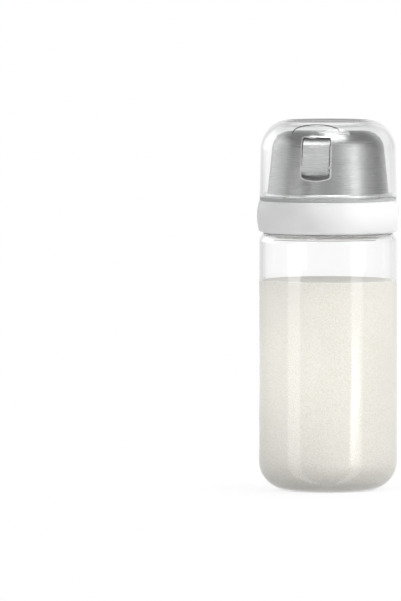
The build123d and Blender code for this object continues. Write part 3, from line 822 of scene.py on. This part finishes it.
def studio_panel(name, azimuth, spread, low, high, radius, finish):
    """A piece of a sphere round the jar that only reflections and refractions see."""
    bm = bmesh.new()
    foot = bm.verts.new((0, -radius * cos(low), radius * sin(low)))
    bmesh.ops.spin(bm, geom=[foot], cent=(0, 0, 0), axis=(-1, 0, 0), dvec=(0, 0, 0),
                   angle=high - low, steps=24)
    start = Matrix.Rotation(azimuth - spread / 2, 3, "Z")
    bmesh.ops.rotate(bm, verts=bm.verts[:], cent=(0, 0, 0), matrix=start)
    bmesh.ops.spin(bm, geom=bm.verts[:] + bm.edges[:], cent=(0, 0, 0), axis=(0, 0, 1), dvec=(0, 0, 0),
                   angle=spread, steps=64)
    bmesh.ops.translate(bm, verts=bm.verts[:], vec=PANEL_CENTRE)
    board = piece(name, bm)
    board.data.materials.append(finish.material)
    board.visible_camera = False
    board.visible_diffuse = False
    board.visible_shadow = False


def between_levels(finish, low, high, first, second):
    """A value that goes from one to the other between two elevations seen from the panels' centre."""
    split = finish.add("ShaderNodeSeparateXYZ")
    finish.link(finish.add("ShaderNodeTexCoord").outputs["Object"], split.inputs[0])
    levels = [PANEL_CENTRE.z + PANEL_RADIUS * sin(radians(degrees)) for degrees in (low, high)]
    return finish.span(split.outputs["Z"], first, second, *levels)


def lit_panel(name, azimuth, spread, low, high, first, second):
    """A small panel whose tone goes from first at its lower edge to second at its upper edge."""
    finish = Finish(name)
    finish.nodes.remove(finish.shader)
    glow = finish.add("ShaderNodeEmission")
    finish.link(between_levels(finish, low, high, first, second), glow.inputs["Strength"])
    finish.link(glow.outputs["Emission"], finish.output.inputs["Surface"])
    studio_panel(name, azimuth, radians(spread), radians(low), radians(high), PANEL_RADIUS, finish)


def wrap_panel(turn):
    """The studio all round the jar but for the open backdrop, with a tone for every direction."""
    finish = Finish("wrap panel")
    finish.nodes.remove(finish.shader)
    place = finish.place((1, 1, 1))
    place.node.inputs["Rotation"].default_value = (0, 0, pi / 2 - turn)
    sweep = finish.add("ShaderNodeTexGradient", gradient_type="RADIAL")
    finish.link(place, sweep.inputs["Vector"])

    def ramp(stops):
        node = finish.add("ShaderNodeValToRGB")
        node.color_ramp.interpolation = "EASE"
        elements = node.color_ramp.elements
        elements.remove(elements[-1])
        for index, (degrees, tone) in enumerate(stops):
            position = 0.5 + degrees / 360
            stop = elements[0] if index == 0 else elements.new(position)
            stop.position = position
            stop.color = (tone / BRIGHTEST, tone / BRIGHTEST, tone / BRIGHTEST, 1)
        finish.link(sweep.outputs["Fac"], node.inputs["Fac"])
        return node.outputs["Color"]

    def mix(factor, first, second):
        node = finish.add("ShaderNodeMix", data_type="RGBA")
        finish.link(factor, node.inputs["Factor"])
        finish.link(first, node.inputs["A"])
        finish.link(second, node.inputs["B"])
        return node.outputs["Result"]

    walls = mix(between_levels(finish, *LOW_JOIN, 0, 1), ramp(LOW_TONES), ramp(HIGH_TONES))
    tones = mix(between_levels(finish, *TOP_JOIN, 0, 1), walls, ramp(TOP_TONES))
    glow = finish.add("ShaderNodeEmission")
    glow.inputs["Strength"].default_value = BRIGHTEST
    finish.link(tones, glow.inputs["Color"])
    finish.link(glow.outputs["Emission"], finish.output.inputs["Surface"])
    low, high = WRAP_SPAN
    studio_panel("wrap panel", turn, FULL_TURN - radians(BACKDROP), radians(low), radians(high),
                 WRAP_RADIUS, finish)


def pale_rays(nodes, links):
    """A value that is 1 for rays that look straight at the background, or by way of gloss or glass."""
    path = nodes.new("ShaderNodeLightPath")
    value = path.outputs["Is Camera Ray"]
    for ray in ("Is Glossy Ray", "Is Transmission Ray"):
        either = nodes.new("ShaderNodeMath")
        either.operation = "MAXIMUM"
        links.new(value, either.inputs[0])
        links.new(path.outputs[ray], either.inputs[1])
        value = either.outputs["Value"]
    return value


class DISPENSER_OT_stage(bpy.types.Operator):
    """Set up the white studio: camera, floor, surround, softboxes and panels"""
    bl_idname = "dispenser.stage"
    bl_label = "Studio"

    def execute(self, context):
        s = context.scene.dispenser_stage
        self.camera(context, s)
        self.floor(s)
        self.surround(context, s)
        self.lamps(s)
        context.scene.view_settings.view_transform = "Standard"
        context.scene.cycles.max_bounces = 16
        context.scene.cycles.glossy_bounces = 12
        context.scene.cycles.transmission_bounces = 16
        return {"FINISHED"}

    def camera(self, context, s):
        data = bpy.data.cameras.new("camera")
        data.sensor_width = 36.0
        data.lens = data.sensor_width * s.distance / s.view_height
        data.clip_end = 100.0
        camera = bpy.data.objects.new("camera", data)
        context.scene.collection.objects.link(camera)
        back = around(s.azimuth, s.elevation, s.distance)
        right = Vector((cos(s.azimuth), sin(s.azimuth), 0))
        aim = Vector((0, 0, s.aim_height)) - right * s.aim_left
        camera.location = aim + back
        camera.rotation_euler = (-back).to_track_quat("-Z", "Y").to_euler()
        context.scene.camera = camera

    def floor(self, s):
        bm = bmesh.new()
        bmesh.ops.create_grid(bm, x_segments=1, y_segments=1, size=12)
        floor = piece("floor", bm)
        floor.visible_glossy = False
        finish = Finish("pale floor")
        finish.set(base_color=(0.86, 0.86, 0.86, 1), roughness=0.7, specular_ior_level=0.0)
        glow = finish.add("ShaderNodeEmission")
        mix = finish.add("ShaderNodeMixShader")
        away = finish.add("ShaderNodeVectorMath", operation="LENGTH")
        finish.link(finish.place((1, 1, 1)), away.inputs[0])
        away = away.outputs["Value"]
        path = finish.add("ShaderNodeLightPath")
        seen = path.outputs["Is Camera Ray"]
        # how plain the floor looks to the camera, first near the jar and then further out
        for low, high, start, end in ((0.1, 0.9, s.contact, s.contact * 1.25),
                                      (0.97, 1.11, s.contact * 1.25, s.shade)):
            seen = finish.math("MULTIPLY", seen, finish.span(away, low, high, start, end))
        weight = finish.math("ADD", seen, path.outputs["Is Transmission Ray"])
        # painted shade under the jar: the floor seen through the glass glows less near the axis
        glow_with_painted_shade = finish.span(away, 0.6, 1.0, s.painted_glass_shade, s.shade * 1.5)
        bright = finish.math("MAXIMUM", path.outputs["Is Camera Ray"], glow_with_painted_shade)
        finish.link(bright, glow.inputs["Strength"])
        finish.link(weight, mix.inputs["Fac"])
        finish.link(finish.shader.outputs["BSDF"], mix.inputs[1])
        finish.link(glow.outputs["Emission"], mix.inputs[2])
        finish.link(mix.outputs["Shader"], finish.output.inputs["Surface"])
        floor.data.materials.append(finish.material)

    def surround(self, context, s):
        world = bpy.data.worlds.new("studio")
        world.use_nodes = True
        context.scene.world = world
        nodes, links = world.node_tree.nodes, world.node_tree.links
        level = nodes.new("ShaderNodeMapRange")
        level.inputs["To Min"].default_value = s.surround
        level.inputs["To Max"].default_value = 1.0
        links.new(pale_rays(nodes, links), level.inputs["Value"])
        background = nodes["Background"]
        background.inputs["Color"].default_value = (1, 1, 1, 1)
        links.new(level.outputs["Result"], background.inputs["Strength"])

    def lamps(self, s):
        turn = s.azimuth
        for name, azimuth, elevation, aim, size, power, more in SOFTBOXES:
            softbox(name, turn + radians(azimuth), radians(elevation), aim, size, power, **more)
        wrap_panel(turn)
        for name, azimuth, spread, low, high, first, second in LIT_PANELS:
            lit_panel(name, turn + radians(azimuth), spread, low, high, first, second)


class DISPENSER_PT_panel(bpy.types.Panel):
    """Buttons for every piece of the dispenser and its studio"""
    bl_idname = "DISPENSER_PT_panel"
    bl_label = "Sugar dispenser"
    bl_space_type = "VIEW_3D"
    bl_region_type = "UI"
    bl_category = "Sugar dispenser"

    def draw(self, context):
        for operator in OPERATORS:
            self.layout.operator(operator.bl_idname)


SETTINGS = {
    "dispenser_glass": GlassSettings,
    "dispenser_sugar": SugarSettings,
    "dispenser_plastic": PlasticSettings,
    "dispenser_steel": SteelSettings,
    "dispenser_cover": CoverSettings,
    "dispenser_stage": StageSettings,
}
OPERATORS = (
    DISPENSER_OT_glass_jar,
    DISPENSER_OT_sugar,
    DISPENSER_OT_cap,
    DISPENSER_OT_collar,
    DISPENSER_OT_dome,
    DISPENSER_OT_spout,
    DISPENSER_OT_cover,
    DISPENSER_OT_stage,
)


def register():
    for name, settings in SETTINGS.items():
        bpy.utils.register_class(settings)
        setattr(bpy.types.Scene, name, PointerProperty(type=settings))
    for operator in OPERATORS:
        bpy.utils.register_class(operator)
    bpy.utils.register_class(DISPENSER_PT_panel)


def unregister():
    bpy.utils.unregister_class(DISPENSER_PT_panel)
    for operator in reversed(OPERATORS):
        bpy.utils.unregister_class(operator)
    for name, settings in reversed(SETTINGS.items()):
        delattr(bpy.types.Scene, name)
        bpy.utils.unregister_class(settings)


def main():
    register()
    bpy.ops.dispenser.stage()
    bpy.ops.dispenser.glass_jar()
    bpy.ops.dispenser.sugar()
    bpy.ops.dispenser.cap()
    bpy.ops.dispenser.collar()
    bpy.ops.dispenser.dome()
    bpy.ops.dispenser.spout()
    bpy.ops.dispenser.cover()


if __name__ == "__main__":
    main()
